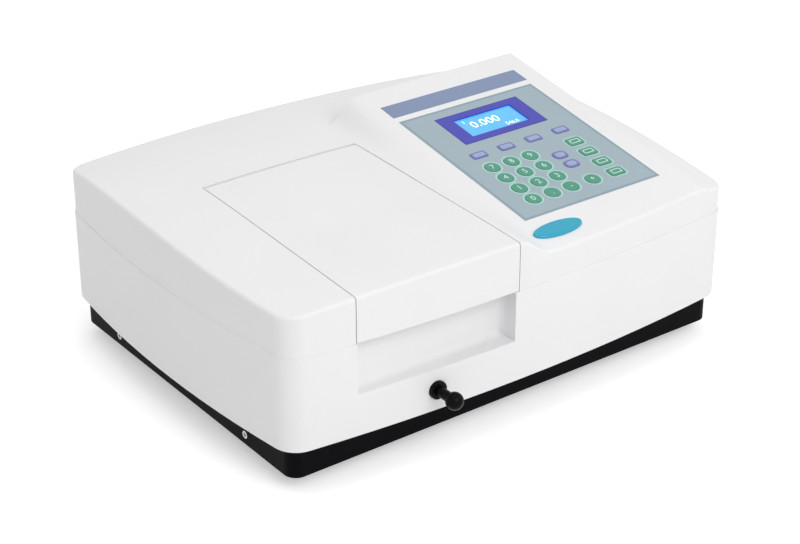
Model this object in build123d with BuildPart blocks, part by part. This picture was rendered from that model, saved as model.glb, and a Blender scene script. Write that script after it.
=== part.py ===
from build123d import *
import os
from math import atan, cos, degrees, radians, sin

# Bench spectrophotometer with a hinged sample lid and a sloping keypad console.
# Millimetres, +Z up. The floor is z = 0. X and Y are zero at the middle of the whole box.

# Housing plan, bowed outwards on all four sides
housing_width = 460.0
housing_depth = 353.0
side_bow = 11.7
front_bow = 13.6
corner_radius = 20.6
wall = 3.0
seam_step = 0.8

# Heights above the floor
foot_height = 12.0
base_height = 26.2
lower_height = 78.3

# Black base tray
base_width = 427.5
base_depth = 315.3
base_corner = 11.0
base_wall = 3.0
foot_radius = 11.0
foot_inset = 36.0

# Crown of the cover above the base tray's underside: y, left, middle and right heights
crown_sections = [
    (-190, 134, 145, 118),
    (-60, 143, 149.5, 127),
    (45, 148.5, 152, 131),
    (120, 145, 149, 129),
    (185, 133, 135.5, 121.5),
]
crown_middle = -60.0
crown_reach = 245.0
cover_edge = 3.0

# Console: a flat sloping top that blends into the crown on its left
console_front_y = -170.0
console_front_height = 130.0
console_slope = 0.1575
console_left = 22.0
console_right = 191.0
console_back = 86.0
console_draft = 6.0
console_edge = 2.5
shelf_step = 0.4
ramp_foot = -13.0

# Lid over the sample compartment
lid_left = -161.0
lid_right = -14.0
lid_back = 41.0
lid_gap = 0.8
lid_back_gap = 1.1
lid_lip_gap = 0.5
lid_edge = 2.4
lid_rib = 2.5
flange_thick = 2.5
pivot_inset = 22.0
pivot_drop = 7.0
pin_radius = 1.5
pin_clearance = 0.05
eye_radius = 3.2
cheek_thick = 4.0
cheek_gap = 0.5
bracket_thick = 2.5
bracket_inset = 1.5
bracket_foot = 9.0

# Finger recess under the lid's lip
recess_depth = 18.0
recess_floor = 62.0
recess_corner = 6.0

# Sample chamber and its deck
chamber_left = -150.0
chamber_right = -26.0
chamber_front = -143.0
chamber_back = -7.0
chamber_wall = 2.5
chamber_floor = 34.0
deck_height = 113.0
deck_thick = 3.0
seal_width = 5.0
seal_height = 4.0
seat_gap = 0.3
beam_y = -75.0
beam_height = 70.0
window_radius = 8.0
chamber_leg = 6.0

# Four-place cuvette carriage on two rods
rod_x = -91.0
cell_size = 12.8
cell_pitch = 16.0
cell_count = 4
cell_depth = 36.0
beam_slot = (5.0, 14.0)
carriage_width = 60.0
carriage_foot = 12.0
carriage_block = 24.0
carriage_length = 68.0
guide_radius = 2.5
guide_spread = 44.0
run_clearance = 0.05
pull_rod_radius = 3.0
rod_height = 44.0
knob_reach = 28.5
knob_radius = 7.2
knob_neck = 4.2
bush_radius = 7.5
bush_barrel = 5.0
bush_flange = 3.0

# Keypad panel on the console, sizes along the slope
panel_x = 98.5
panel_y = -49.3
panel_width = 143.0
panel_length = 168.6
panel_thick = 1.0
panel_proud = 0.2
panel_ledge = 6.0
key_gap = 0.3
key_proud = 0.8
key_travel = 0.5
key_flange = 1.2
board_drop = 3.2
board_thick = 1.6
key_rows = [-9.7, -27.3, -44.9, -62.5]
round_columns = [-45.5, -25.5, -5.5]
round_radius = 6.6
function_columns = [-43.5, -14.5, 14.5, 44.0]
function_row = 10.8
function_size = (15.0, 8.6)
arrow_x = 17.4
arrow_rows = [-20.8, -35.8]
arrow_size = (13.5, 10.5)
command_x = 42.7
command_size = (15.0, 10.6)
display_centre = (1.0, 50.7)
bezel_size = (88.0, 44.0)
display_size = (61.0, 28.3)
strip_centre = (1.0, 101.2)
strip_size = (145.0, 19.0)
badge_centre = (-56.2, -105.6)
badge_size = (48.0, 17.5)

# Service bay in the back wall, with the fan and the mains module
bay_left = 30.0
bay_right = 196.0
bay_bottom = 34.0
bay_top = 98.0
bay_depth = 16.5
service_height = 64.0
fan_x = 160.0
fan_size = 60.0
fan_thick = 25.0
fan_bore = 28.0
rotor_radius = 26.5
hub_radius = 12.0
blade_count = 7
vent_pitch = 7.0
vent_width = 3.6
module_x = 74.0
module_size = (66.0, 28.0)
module_body = (58.0, 22.0)
module_flange = 2.5
module_depth = 20.0
socket_offset = -15.0
socket_size = (24.4, 16.6)
socket_depth = 15.0
blade_size = (2.0, 4.2)
switch_offset = 19.0
switch_size = (13.2, 19.8)
rocker_radius = 9.4
rocker_tilt = 7.0
rocker_gap = 0.4

# Monochromator: a cast tray on legs, its mirrors, grating and slits
optics_left = -14.0
optics_right = 140.0
optics_front = -150.0
optics_back = 20.0
optics_floor = 40.0
optics_height = 60.0
optics_wall = 5.0
optics_leg = 6.0
nose_radius = 12.0
slit_radius = 5.0
entrance_x = 110.0
mirror_radius = 18.0
mirror_thick = 6.0
mirror_seat = 8.0
camera_mirror_x = 20.0
grating_x = 62.0
grating_y = -20.0
grating_size = (30.0, 8.0, 30.0)
table_radius = 18.0
table_thick = 5.0

# Filter wheel, steppers, lamp house and detector
filter_radius = 27.0
filter_orbit = 19.0
filter_hole = 4.5
filter_count = 6
filter_thick = 2.0
motor_size = 28.0
motor_length = 26.0
shaft_radius = 2.5
shaft_length = 15.0
lamp_left = 50.0
lamp_right = 196.0
lamp_front = 62.0
lamp_back = 128.0
lamp_height = 92.0
lamp_wall = 1.5
lamp_axis_y = 95.0
tungsten_x = 150.0
deuterium_x = 70.0
detector_size = (48.0, 40.0, 44.0)

# Electronics
board_size = (96.0, 84.0)
board_centre = (-6.0, 105.0)
supply_size = (140.0, 88.0, 42.0)
supply_centre = (-132.0, 105.0)
post_radius = 4.0
post_height = 8.0
screw_head = 3.2
screw_shank = 1.75
screw_length = 8.0
screw_height = 10.7
screw_spread = 192.0
lug_size = 12.0
lug_thick = 6.0

# Worked out from the values above
lift = foot_height
half_width = housing_width / 2
half_depth = housing_depth / 2
rod_face = front_bow * (rod_x / (half_width - side_bow)) ** 2 - half_depth
knob_tip = rod_face - knob_reach
mid_y = -(knob_tip + half_depth) / 2
base_top = lift + base_height
seam = base_top + lower_height
tray_floor = lift + base_wall
tilt = degrees(atan(console_slope))
beam_z = lift + beam_height
deck_top = lift + deck_height + deck_thick
deck_under = lift + deck_height
chamber_floor_z = lift + chamber_floor
rod_z = lift + rod_height
lid_middle = (lid_left + lid_right) / 2
bay_face = half_depth - bay_depth
service_z = lift + service_height
optics_bottom = lift + optics_floor
pivot_y = lid_back - pivot_inset


def level(z):
    """Horizontal plane at height z, centred on the housing."""
    return Plane((0, mid_y, z))


def upright(y):
    """Plane facing the front at depth y from the housing's centre; sketch axes are X and Z."""
    return Plane(origin=(0, mid_y + y, 0), x_dir=(1, 0, 0), z_dir=(0, -1, 0))


def sideways(x):
    """Plane facing the right at x; sketch axes are Y and Z."""
    return Plane(origin=(x, mid_y, 0), x_dir=(0, 1, 0), z_dir=(1, 0, 0))


def section_heights(y):
    """Left, middle and right crown heights at any y, on the curve through the sections."""
    heights = []
    for column in (1, 2, 3):
        total = 0.0
        for section in crown_sections:
            weight = 1.0
            for other in crown_sections:
                if other is not section:
                    weight *= (y - other[0]) / (section[0] - other[0])
            total += weight * section[column]
        heights.append(lift + total)
    return heights


def crown_height(x, y):
    """Height of the crowned top at a point of the plan."""
    left, middle, right = section_heights(y)
    to_left = -crown_reach - crown_middle
    to_right = crown_reach - crown_middle
    bend = ((left - middle) / to_left - (right - middle) / to_right) / (to_left - to_right)
    rise = (left - middle) / to_left - bend * to_left
    return middle + rise * (x - crown_middle) + bend * (x - crown_middle) ** 2


def console_height(y):
    """Height of the console's flat top at a depth y."""
    return lift + console_front_height + console_slope * (y - console_front_y)


def housing_outline(inset):
    """Bowed plan of the housing, drawn in by inset all round."""
    corner_x = half_width - side_bow
    corner_y = half_depth - front_bow
    side_slope = 2 * side_bow * corner_y / (corner_y ** 2 + side_bow ** 2)
    front_slope = 2 * front_bow * corner_x / (corner_x ** 2 + front_bow ** 2)
    shared = inset / (1 - side_slope * front_slope)
    corner_x -= shared * (1 - side_slope)
    corner_y -= shared * (1 - front_slope)
    side_x = half_width - inset
    front_y = half_depth - inset
    with BuildSketch() as outline:
        with BuildLine():
            ThreePointArc((corner_x, -corner_y), (side_x, 0), (corner_x, corner_y))
            ThreePointArc((corner_x, corner_y), (0, front_y), (-corner_x, corner_y))
            ThreePointArc((-corner_x, corner_y), (-side_x, 0), (-corner_x, -corner_y))
            ThreePointArc((-corner_x, -corner_y), (0, -front_y), (corner_x, -corner_y))
        make_face()
        fillet(outline.vertices(), corner_radius - inset)
    return outline.sketch


console_plane = Plane(
    origin=(panel_x, mid_y + panel_y, console_height(panel_y)),
    x_dir=(1, 0, 0),
    z_dir=(0, -sin(radians(tilt)), cos(radians(tilt))),
)


def cover_form(drop, inset, rounded):
    """Solid form of the cover, lowered by drop and drawn in by inset for the hollow inside."""
    plan = housing_outline(inset + seam_step)
    with BuildPart() as crown:
        for y, left, middle, right in crown_sections:
            with BuildSketch(upright(y)):
                with BuildLine():
                    left_end = (-crown_reach, lift + left - drop)
                    right_end = (crown_reach, lift + right - drop)
                    Polyline(left_end, (-crown_reach, seam - wall), (crown_reach, seam - wall), right_end)
                    ThreePointArc(left_end, (crown_middle, lift + middle - drop), right_end)
                make_face()
        loft()
        with BuildSketch(level(seam)):
            add(plan)
        extrude(amount=housing_depth, mode=Mode.INTERSECT)
        if rounded:
            fillet(rim_edges(crown.part), cover_edge)
        with BuildSketch(level(seam - 2 * wall)):
            front_end = -2 * half_depth
            back_end = console_back - inset
            with Locations(((ramp_foot + 2 * crown_reach) / 2, (front_end + back_end) / 2)):
                Rectangle(2 * crown_reach - ramp_foot, back_end - front_end)
        extrude(amount=housing_depth, mode=Mode.SUBTRACT)
    with BuildPart() as console:
        for y in (crown_sections[0][0], -60, 45, console_back - inset):
            top = console_height(y) - drop
            foot = (ramp_foot, crown_height(ramp_foot, y) - drop)
            ridge_left = (console_left, top)
            ridge_right = (console_right - inset, top)
            shelf_x = console_right + console_draft - inset
            shelf_inner = (shelf_x, min(crown_height(shelf_x, y) - drop, top - shelf_step))
            shelf_outer = (crown_reach, crown_height(crown_reach, y) - drop)
            ridge_height = top - shelf_inner[1]
            ridge_round = min(console_edge, ridge_height / 2)
            ridge_start = (console_right - inset - ridge_round, top)
            ridge_end_x = ridge_right[0] + console_draft * ridge_round / ridge_height
            ridge_end = (ridge_end_x, top - ridge_round)
            with BuildSketch(upright(y)):
                with BuildLine():
                    Spline(foot, ridge_left, tangents=[(1, 0), (1, 0)])
                    Line(ridge_left, ridge_start)
                    Bezier(ridge_start, ridge_right, ridge_end)
                    Polyline(ridge_end, shelf_inner, shelf_outer)
                    Polyline(shelf_outer, (crown_reach, seam - wall), (ramp_foot, seam - wall), foot)
                make_face()
        loft()
        with BuildSketch(level(seam)):
            add(plan)
        extrude(amount=housing_depth, mode=Mode.INTERSECT)
        if rounded:
            rim = []
            for edge in rim_edges(console.part):
                middle = edge.center()
                if abs(middle.X - ramp_foot) > 1 and abs(middle.Y - mid_y - console_back) > 1:
                    rim.append(edge)
            fillet(rim, cover_edge)
    with BuildPart() as form:
        add(crown.part)
        add(console.part)
    return form.part


def rim_edges(body):
    """Top edges of the upright side walls of a body that stands on the seam."""
    rim = []
    for face in body.faces():
        box = face.bounding_box()
        if abs(face.normal_at().Z) < 0.02 and box.min.Z < seam + 1:
            for edge in face.edges():
                if edge.bounding_box().min.Z > seam + 5 and edge.geom_type != GeomType.LINE:
                    if edge.length > 1:
                        rim.append(edge)
    return rim


def save(piece, name):
    """Label a piece and write its STEP file."""
    piece.label = name
    export_step(piece, f"parts/{name}.step")


os.makedirs("parts", exist_ok=True)
pivot_z = crown_height(lid_left, pivot_y) - pivot_drop

# Base tray with screw holes, board posts and vent slots
with BuildPart() as base_tray:
    with BuildSketch(level(lift)):
        RectangleRounded(base_width, base_depth, base_corner)
    extrude(amount=base_height)
    with BuildSketch(level(tray_floor)):
        RectangleRounded(base_width - 2 * base_wall, base_depth - 2 * base_wall, base_corner - base_wall)
    extrude(amount=base_height, mode=Mode.SUBTRACT)
    with BuildSketch(level(tray_floor)):
        with Locations(board_centre):
            with GridLocations(board_size[0] - 12, board_size[1] - 12, 2, 2):
                Circle(post_radius)
    extrude(amount=post_height)
    with BuildSketch(level(lift)):
        with Locations((fan_x - 30, -20)):
            with GridLocations(1, vent_pitch, 1, 7):
                SlotOverall(50, vent_width)
    extrude(amount=base_wall, mode=Mode.SUBTRACT)
    with BuildSketch(sideways(0)):
        with Locations((-screw_spread / 2, lift + screw_height), (screw_spread / 2, lift + screw_height)):
            Circle(screw_shank + 0.15)
    extrude(amount=base_width, both=True, mode=Mode.SUBTRACT)
save(base_tray.part, "base_tray")

# Four rubber feet with a dished underside
with BuildPart() as feet:
    with BuildSketch(level(0)):
        with GridLocations(base_width - 2 * foot_inset, base_depth - 2 * foot_inset, 2, 2):
            Circle(foot_radius)
    extrude(amount=lift, taper=8)
    with BuildSketch(level(0)):
        with GridLocations(base_width - 2 * foot_inset, base_depth - 2 * foot_inset, 2, 2):
            Circle(foot_radius - 5)
    extrude(amount=5, mode=Mode.SUBTRACT)
save(feet.part, "feet")

# Lower housing with the finger recess, the service bay and the screw lugs
housing_plan = housing_outline(0)
housing_hollow = housing_outline(wall)
recess_back = recess_depth - half_depth
recess_z = lift + recess_floor
recess_width = lid_right - wall - lid_left
with BuildPart() as recess_pocket:
    with BuildSketch(level(recess_z)):
        with Locations((lid_middle - wall / 2, recess_back - recess_depth)):
            Rectangle(recess_width, 2 * recess_depth)
    extrude(amount=seam - recess_z + 1)
    lowest = recess_pocket.faces().sort_by(Axis.Z)[0].edges().sort_by(Axis.Y)[-1]
    uprights = recess_pocket.edges().filter_by(Axis.Z).sort_by(Axis.Y)[-2:]
    fillet([lowest] + list(uprights), recess_corner)
with BuildPart() as lower_housing:
    with BuildSketch(level(base_top)):
        add(housing_plan)
    extrude(amount=lower_height)
    with BuildSketch(level(base_top + wall)):
        add(housing_hollow)
    extrude(amount=lower_height, mode=Mode.SUBTRACT)
    with BuildSketch(level(base_top)):
        rim_width = 2 * base_wall + 4
        RectangleRounded(base_width - rim_width, base_depth - rim_width, base_corner - base_wall)
    extrude(amount=wall, mode=Mode.SUBTRACT)
    lug_drop = base_height - base_wall - 4
    with BuildSketch(level(base_top - lug_drop)):
        for side in (-1, 1):
            lug_x = side * (base_width / 2 - base_wall - lug_thick / 2 - 0.1)
            with Locations((lug_x, -screw_spread / 2), (lug_x, screw_spread / 2)):
                Rectangle(lug_thick, lug_size)
    extrude(amount=lug_drop + wall)
    with BuildSketch(sideways(0)):
        with Locations((-screw_spread / 2, lift + screw_height), (screw_spread / 2, lift + screw_height)):
            Circle(screw_shank + 0.05)
    extrude(amount=base_width, both=True, mode=Mode.SUBTRACT)
    with BuildSketch(level(recess_z - wall)):
        add(housing_plan)
        with Locations(((lid_left + lid_right - wall) / 2, recess_back - recess_depth)):
            Rectangle(recess_width + 2 * wall, 2 * recess_depth + 2 * wall, mode=Mode.INTERSECT)
    extrude(amount=seam - recess_z + wall)
    with BuildSketch(level(seam)):
        with Locations((lid_middle - wall / 2, recess_back + wall / 2)):
            Rectangle(recess_width - 1, wall)
    extrude(amount=deck_under - seam)
    add(recess_pocket.part, mode=Mode.SUBTRACT)
    with BuildSketch(upright(rod_face + 0.6)):
        with Locations((rod_x, rod_z)):
            Circle(bush_radius + 0.3)
    extrude(amount=10, mode=Mode.SUBTRACT)
    with BuildSketch(upright(rod_face + 10)):
        with Locations((rod_x, rod_z)):
            Circle(bush_barrel + 0.05)
    extrude(amount=20, mode=Mode.SUBTRACT)
    with BuildSketch(level(lift + bay_bottom - wall)):
        add(housing_plan)
        with Locations(((bay_left + bay_right) / 2, bay_face + half_depth - wall)):
            Rectangle(bay_right - bay_left + 2 * wall, 2 * half_depth, mode=Mode.INTERSECT)
    extrude(amount=bay_top - bay_bottom + 2 * wall)
    with BuildSketch(level(lift + bay_bottom)):
        with Locations(((bay_left + bay_right) / 2, bay_face + half_depth)):
            Rectangle(bay_right - bay_left, 2 * half_depth)
    extrude(amount=bay_top - bay_bottom, mode=Mode.SUBTRACT)
    with BuildSketch(upright(bay_face)):
        with Locations((module_x, service_z)):
            Rectangle(module_body[0] + 0.6, module_body[1] + 0.6)
        with Locations((fan_x, service_z)):
            for row in range(-3, 4):
                slot_length = 2 * (fan_bore ** 2 - (row * vent_pitch) ** 2) ** 0.5 - 4
                with Locations((0, row * vent_pitch)):
                    SlotOverall(slot_length, vent_width)
    extrude(amount=10, both=True, mode=Mode.SUBTRACT)
save(lower_housing.part, "lower_housing")

# Upper cover: crowned shell with the console, the lid opening and its flanges
cover_solid = cover_form(0, 0, True)
cover_hollow = cover_form(wall, wall, False)
opening_width = lid_right - lid_left + 2 * lid_gap
opening_back = lid_back + lid_back_gap
with BuildPart() as flanges:
    add(cover_solid)
    with BuildSketch(level(seam)):
        with Locations((lid_middle, (opening_back + flange_thick) / 2 - half_depth)):
            Rectangle(opening_width + 2 * flange_thick, 2 * half_depth + opening_back + flange_thick)
    extrude(amount=housing_depth, mode=Mode.INTERSECT)
with BuildPart() as upper_cover:
    add(cover_solid)
    add(cover_hollow, mode=Mode.SUBTRACT)
    add(flanges.part)
    with BuildSketch(level(seam)):
        with Locations((lid_middle, opening_back / 2 - half_depth)):
            Rectangle(opening_width, 2 * half_depth + opening_back)
    extrude(amount=housing_depth, mode=Mode.SUBTRACT)
    with BuildSketch(console_plane.offset(panel_proud - panel_thick)):
        Rectangle(panel_width + key_gap, panel_length + key_gap)
        with Locations(strip_centre):
            Rectangle(strip_size[0] + key_gap, strip_size[1] + key_gap)
    extrude(amount=10, mode=Mode.SUBTRACT)
    with BuildSketch(console_plane):
        Rectangle(panel_width - 2 * panel_ledge, panel_length - 2 * panel_ledge)
    extrude(amount=10, both=True, mode=Mode.SUBTRACT)
save(upper_cover.part, "upper_cover")

# Sample lid with its front lip, light-tight rib and two hinge cheeks
cheek_left = lid_left + bracket_inset + bracket_thick + cheek_gap
cheek_right = lid_right - bracket_inset - bracket_thick - cheek_gap - cheek_thick
rib_low = deck_top + seal_height + seat_gap
chamber_mid = ((chamber_left + chamber_right) / 2, (chamber_front + chamber_back) / 2)
chamber_width = chamber_right - chamber_left
chamber_length = chamber_back - chamber_front
rib_width = chamber_width + seal_width
rib_length = chamber_length + seal_width
with BuildPart() as lid_ribs:
    with BuildSketch(level(rib_low)):
        with Locations(chamber_mid):
            Rectangle(rib_width + lid_rib, rib_length + lid_rib)
            Rectangle(rib_width - lid_rib, rib_length - lid_rib, mode=Mode.SUBTRACT)
    extrude(amount=lower_height)
    for cheek_x in (cheek_left, cheek_right):
        with BuildSketch(sideways(cheek_x)):
            with Locations((pivot_y, pivot_z)):
                Circle(eye_radius)
                Polygon((-eye_radius, 0), (eye_radius, 0), (8, 20), (-14, 20), align=None)
        extrude(amount=cheek_thick)
    add(cover_form(wall / 2, wall / 2, False), mode=Mode.INTERSECT)
with BuildPart() as sample_lid:
    add(cover_solid)
    add(cover_hollow, mode=Mode.SUBTRACT)
    with BuildSketch(level(seam + lid_lip_gap)):
        with Locations((lid_middle, lid_back / 2 - half_depth)):
            Rectangle(lid_right - lid_left, 2 * half_depth + lid_back)
    extrude(amount=housing_depth, mode=Mode.INTERSECT)
    rear_edges = []
    for edge in sample_lid.edges():
        if abs(edge.center().Y - mid_y - lid_back) < 0.1 and edge.length > 100:
            rear_edges.append(edge)
    fillet(ShapeList(rear_edges).sort_by(Axis.Z)[-1], lid_edge)
    add(lid_ribs.part)
    for cheek_x in (cheek_left, cheek_right):
        with BuildSketch(sideways(cheek_x)):
            with Locations((pivot_y, pivot_z)):
                Circle(pin_radius + pin_clearance)
        extrude(amount=cheek_thick, mode=Mode.SUBTRACT)
save(sample_lid.part, "sample_lid")

# Hinge brackets standing on the deck, and their pins
bracket_left = lid_left + bracket_inset
bracket_right = lid_right - bracket_inset - bracket_thick
eye_drop = pivot_z - deck_top
with BuildPart() as hinge_brackets:
    for bracket_x in (bracket_left, bracket_right):
        with BuildSketch(sideways(bracket_x)):
            with Locations((pivot_y, pivot_z)):
                Circle(eye_radius)
                Polygon(
                    (-eye_radius, 0),
                    (0, -eye_radius),
                    (-bracket_foot / 2, -eye_drop),
                    (-2 * bracket_foot, -eye_drop),
                    align=None,
                )
                Circle(pin_radius + pin_clearance, mode=Mode.SUBTRACT)
        extrude(amount=bracket_thick)
save(hinge_brackets.part, "hinge_brackets")

with BuildPart() as hinge_pins:
    pin_length = bracket_thick + cheek_gap + cheek_thick
    for pin_x in (bracket_left, cheek_right):
        with BuildSketch(sideways(pin_x)):
            with Locations((pivot_y, pivot_z)):
                Circle(pin_radius)
        extrude(amount=pin_length)
save(hinge_pins.part, "hinge_pins")

# Sample chamber: dark box with its deck, beam windows, rod hole and legs
chamber_under = chamber_floor_z - chamber_wall
with BuildPart() as sample_chamber:
    with BuildSketch(level(chamber_under)):
        with Locations(chamber_mid):
            Rectangle(chamber_width + 2 * chamber_wall, chamber_length + 2 * chamber_wall)
    extrude(amount=deck_top - chamber_under)
    with BuildSketch(level(deck_under)):
        with Locations((lid_middle, (recess_back + lid_back) / 2)):
            Rectangle(lid_right - lid_left, lid_back - recess_back)
    extrude(amount=deck_thick)
    with BuildSketch(level(chamber_floor_z)):
        with Locations(chamber_mid):
            Rectangle(chamber_width, chamber_length)
    extrude(amount=deck_top - chamber_floor_z, mode=Mode.SUBTRACT)
    with BuildSketch(sideways(chamber_left - wall)):
        with Locations((beam_y, beam_z)):
            Circle(window_radius)
    extrude(amount=chamber_width + 2 * wall, mode=Mode.SUBTRACT)
    with BuildSketch(upright(chamber_front + 1)):
        with Locations((rod_x, rod_z)):
            Circle(pull_rod_radius + 0.5)
    extrude(amount=chamber_wall + 2, mode=Mode.SUBTRACT)
    with BuildSketch(level(tray_floor)):
        with Locations(chamber_mid):
            with GridLocations(chamber_width - 2 * chamber_leg, chamber_length - 2 * chamber_leg, 2, 2):
                Circle(chamber_leg)
    extrude(amount=chamber_under - tray_floor)
save(sample_chamber.part, "sample_chamber")

with BuildPart() as light_seal:
    with BuildSketch(level(deck_top)):
        with Locations(chamber_mid):
            RectangleRounded(chamber_width + 2 * seal_width, chamber_length + 2 * seal_width, seal_width)
            Rectangle(chamber_width, chamber_length, mode=Mode.SUBTRACT)
    extrude(amount=seal_height)
save(light_seal.part, "light_seal")

# Cuvette carriage on two guide rods
carriage_front = beam_y - cell_size / 2 - 4
carriage_mid = carriage_front + carriage_length / 2
block_top = beam_z + 18
slot_mid = beam_y + cell_pitch * (cell_count - 1) / 2
with BuildPart() as cuvette_carriage:
    with BuildSketch(level(rod_z - carriage_foot / 2)):
        with Locations((rod_x, carriage_mid)):
            RectangleRounded(carriage_width, carriage_length, 3)
    extrude(amount=carriage_foot)
    with BuildSketch(level(rod_z)):
        with Locations((rod_x, carriage_mid)):
            RectangleRounded(carriage_block, carriage_length, 3)
    extrude(amount=block_top - rod_z)
    with BuildSketch(level(block_top)):
        with Locations((rod_x, slot_mid)):
            with GridLocations(1, cell_pitch, 1, cell_count):
                Rectangle(cell_size, cell_size)
    extrude(amount=-cell_depth, mode=Mode.SUBTRACT)
    with BuildSketch(sideways(rod_x)):
        with Locations((slot_mid, beam_z)):
            with GridLocations(cell_pitch, 1, cell_count, 1):
                Rectangle(*beam_slot)
    extrude(amount=carriage_block, both=True, mode=Mode.SUBTRACT)
    with BuildSketch(upright(carriage_front)):
        with Locations((rod_x, rod_z)):
            with GridLocations(guide_spread, 1, 2, 1):
                Circle(guide_radius + run_clearance)
    extrude(amount=-carriage_length, mode=Mode.SUBTRACT)
    with BuildSketch(upright(carriage_front)):
        with Locations((rod_x, rod_z)):
            Circle(pull_rod_radius)
    extrude(amount=-carriage_foot, mode=Mode.SUBTRACT)
save(cuvette_carriage.part, "cuvette_carriage")

with BuildPart() as guide_rods:
    with BuildSketch(upright(chamber_back)):
        with Locations((rod_x, rod_z)):
            with GridLocations(guide_spread, 1, 2, 1):
                Circle(guide_radius)
    extrude(amount=chamber_length)
save(guide_rods.part, "guide_rods")

# Pull rod, its knob and the bushing in the front wall
ball_y = knob_tip + knob_radius
rod_back = carriage_front + carriage_foot
with BuildPart() as pull_rod:
    with BuildSketch(upright(rod_back)):
        with Locations((rod_x, rod_z)):
            Circle(pull_rod_radius)
    extrude(amount=rod_back - ball_y)
save(pull_rod.part, "pull_rod")

neck_back = rod_face - bush_flange - 0.8
neck_start = ball_y + (knob_radius ** 2 - knob_neck ** 2) ** 0.5
with BuildPart() as rod_knob:
    with BuildSketch(sideways(rod_x)):
        with BuildLine():
            crest = (ball_y, rod_z + knob_radius)
            neck_point = (neck_start, rod_z + knob_neck)
            ThreePointArc((knob_tip, rod_z), crest, neck_point)
            Polyline(neck_point, (neck_back, rod_z + knob_neck), (neck_back, rod_z + pull_rod_radius))
            Polyline((neck_back, rod_z + pull_rod_radius), (ball_y, rod_z + pull_rod_radius), (ball_y, rod_z))
            Line((ball_y, rod_z), (knob_tip, rod_z))
        make_face()
    revolve(axis=Axis((rod_x, 0, rod_z), (0, 1, 0)))
save(rod_knob.part, "rod_knob")

with BuildPart() as rod_bushing:
    with BuildSketch(upright(rod_face + 0.6)):
        with Locations((rod_x, rod_z)):
            Circle(bush_radius)
    extrude(amount=bush_flange + 0.6)
    fillet(rod_bushing.edges().sort_by(Axis.Y)[0], 0.8)
    with BuildSketch(upright(rod_face + 0.6)):
        with Locations((rod_x, rod_z)):
            Circle(bush_barrel)
    extrude(amount=-(wall + 2))
    with BuildSketch(upright(rod_face + 10)):
        with Locations((rod_x, rod_z)):
            Circle(pull_rod_radius + run_clearance)
    extrude(amount=20, mode=Mode.SUBTRACT)
save(rod_bushing.part, "rod_bushing")

# Push keys: name, place on the console, width, height and corner
keys = []
for column, u in enumerate(function_columns):
    keys.append((f"key_function_{column + 1}", u, function_row, function_size[0], function_size[1], 2))
for row, v in enumerate(key_rows):
    for column, u in enumerate(round_columns):
        keys.append((f"key_round_{row + 1}{column + 1}", u, v, 2 * round_radius, 2 * round_radius, 0))
    keys.append((f"key_command_{row + 1}", command_x, v, command_size[0], command_size[1], 2.5))
keys.append(("key_round_44", arrow_x, key_rows[3], 2 * round_radius, 2 * round_radius, 0))
for name, v in zip(("key_arrow_up", "key_arrow_down"), arrow_rows):
    keys.append((name, arrow_x, v, arrow_size[0], arrow_size[1], 4.5))
panel_under = panel_proud - panel_thick
outward = Axis(console_plane.origin, console_plane.z_dir)
flange_top = panel_under - key_gap
flange_low = flange_top - key_travel - key_flange / 2


def key_outline(width, height, corner, grow):
    """Outline of a key, grown by the same amount all round."""
    if corner == 0:
        Circle(width / 2 + grow)
    else:
        RectangleRounded(width + 2 * grow, height + 2 * grow, corner + grow)


for name, u, v, width, height, corner in keys:
    with BuildPart() as key:
        with BuildSketch(console_plane.offset(flange_low)):
            with Locations((u, v)):
                key_outline(width, height, corner, 0)
        extrude(amount=key_proud - flange_low)
        fillet(key.faces().sort_by(outward)[-1].edges(), 0.35)
        with BuildSketch(console_plane.offset(flange_low)):
            with Locations((u, v)):
                key_outline(width, height, corner, key_flange)
        extrude(amount=flange_top - flange_low)
    save(key.part, name)

with BuildPart() as keypad_panel:
    with BuildSketch(console_plane.offset(panel_under)):
        Rectangle(panel_width, panel_length)
        with Locations(display_centre):
            Rectangle(bezel_size[0] + key_gap, bezel_size[1] + key_gap, mode=Mode.SUBTRACT)
    extrude(amount=panel_thick)
    for name, u, v, width, height, corner in keys:
        with BuildSketch(console_plane.offset(panel_under)):
            with Locations((u, v)):
                key_outline(width, height, corner, key_gap)
        extrude(amount=panel_thick, mode=Mode.SUBTRACT)
save(keypad_panel.part, "keypad_panel")

with BuildPart() as title_strip:
    with BuildSketch(console_plane.offset(panel_under)):
        with Locations(strip_centre):
            Rectangle(*strip_size)
    extrude(amount=panel_thick)
save(title_strip.part, "title_strip")

with BuildPart() as display_bezel:
    with BuildSketch(console_plane.offset(panel_under)):
        with Locations(display_centre):
            Rectangle(*bezel_size)
            Rectangle(*display_size, mode=Mode.SUBTRACT)
    extrude(amount=panel_thick + 0.3)
save(display_bezel.part, "display_bezel")

with BuildPart() as display_module:
    with BuildSketch(console_plane.offset(-board_drop)):
        with Locations(display_centre):
            Rectangle(bezel_size[0] - 4, bezel_size[1] - 4)
    extrude(amount=board_drop + panel_under)
save(display_module.part, "display_module")

with BuildPart() as oval_badge:
    with BuildSketch(console_plane.offset(0.1)):
        with Locations(badge_centre):
            Ellipse(badge_size[0] / 2, badge_size[1] / 2)
    extrude(amount=2.4)
    fillet(oval_badge.faces().sort_by(outward)[-1].edges(), 1.8)
save(oval_badge.part, "oval_badge")

with BuildPart() as keypad_board:
    with BuildSketch(console_plane.offset(-board_drop - board_thick)):
        RectangleRounded(panel_width - 4, panel_length - 4, 2)
    extrude(amount=board_thick)
    with BuildSketch(console_plane.offset(-board_drop - board_thick)):
        with Locations((0, 50)):
            with GridLocations(34, 30, 3, 2):
                Rectangle(18, 10)
        with Locations((0, -70)):
            Rectangle(40, 8)
    extrude(amount=-3)
save(keypad_board.part, "keypad_board")

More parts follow.
